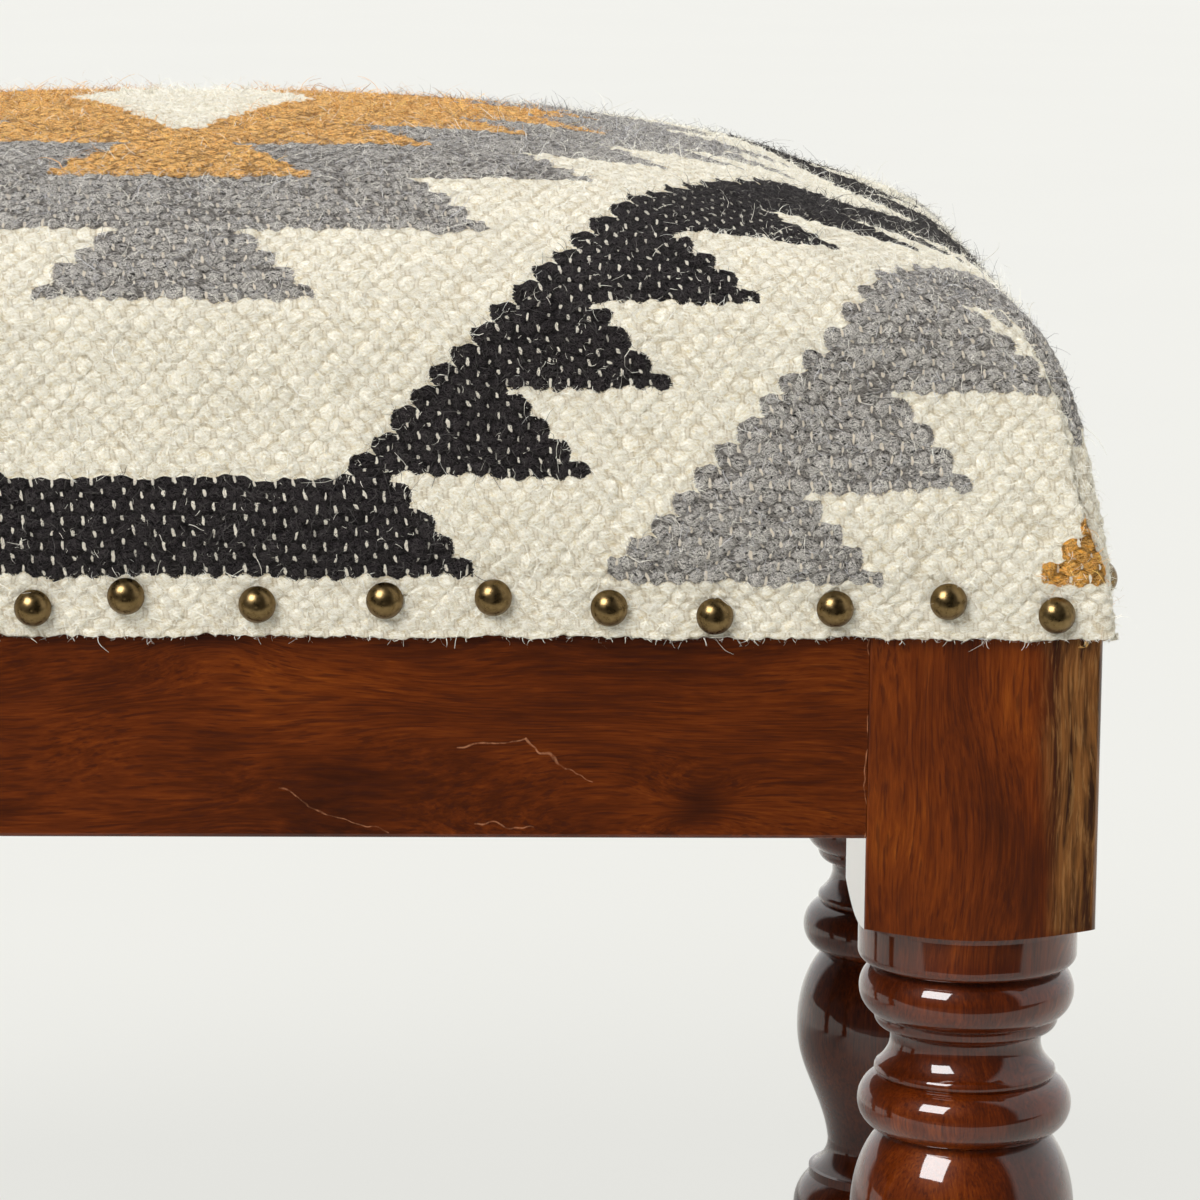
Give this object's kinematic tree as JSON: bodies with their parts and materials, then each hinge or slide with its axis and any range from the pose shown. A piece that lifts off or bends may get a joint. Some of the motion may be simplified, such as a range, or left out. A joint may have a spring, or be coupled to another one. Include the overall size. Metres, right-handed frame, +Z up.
{
  "type": "kilim footstool",
  "caption": "Rectangular footstool: domed padded seat in a flat-woven wool cover held by domed nails, on a joined hardwood frame with turned legs.",
  "frame": {"origin": "middle of the footprint, on the floor", "axes": "+X along the stool's length, to the right seen from its front, +Y from front to back, +Z up"},
  "size_m": [0.6176, 0.3436, 0.457],
  "materials": {
    "polished_wood": "clear gloss varnish over red-brown hardwood",
    "plain_wood": "unfinished sawn wood",
    "plywood": "unfinished plywood",
    "kilim_wool": "thick flat-woven wool, cream ground with black, grey and ochre stepped motifs",
    "foam": "open-cell upholstery foam",
    "wadding": "bonded polyester wadding",
    "antique_brass": "antique brass, domed and polished",
    "zinc_steel": "zinc-plated steel",
    "dust_cloth": "thin black non-woven cloth",
    "glide_nylon": "dark brown nylon"
  },
  "bodies": {
    "root": {"cross_rail": "plain_wood", "deck_screws": "zinc_steel", "dust_cover": "dust_cloth", "dust_cover_staples": "zinc_steel", "foam_pad": "foam", "glide_back_left": "glide_nylon", "glide_back_right": "glide_nylon", "glide_front_left": "glide_nylon", "glide_front_right": "glide_nylon", "glue_blocks": "plain_wood", "kilim_cover": "kilim_wool", "leg_back_left": "polished_wood", "leg_back_right": "polished_wood", "leg_front_left": "polished_wood", "leg_front_right": "polished_wood", "nails_back": "antique_brass", "nails_front": "antique_brass", "nails_left": "antique_brass", "nails_right": "antique_brass", "rail_back": "polished_wood", "rail_front": "polished_wood", "rail_left": "polished_wood", "rail_right": "polished_wood", "seat_deck": "plywood", "wadding": "wadding"}
  },
  "joints": []
}
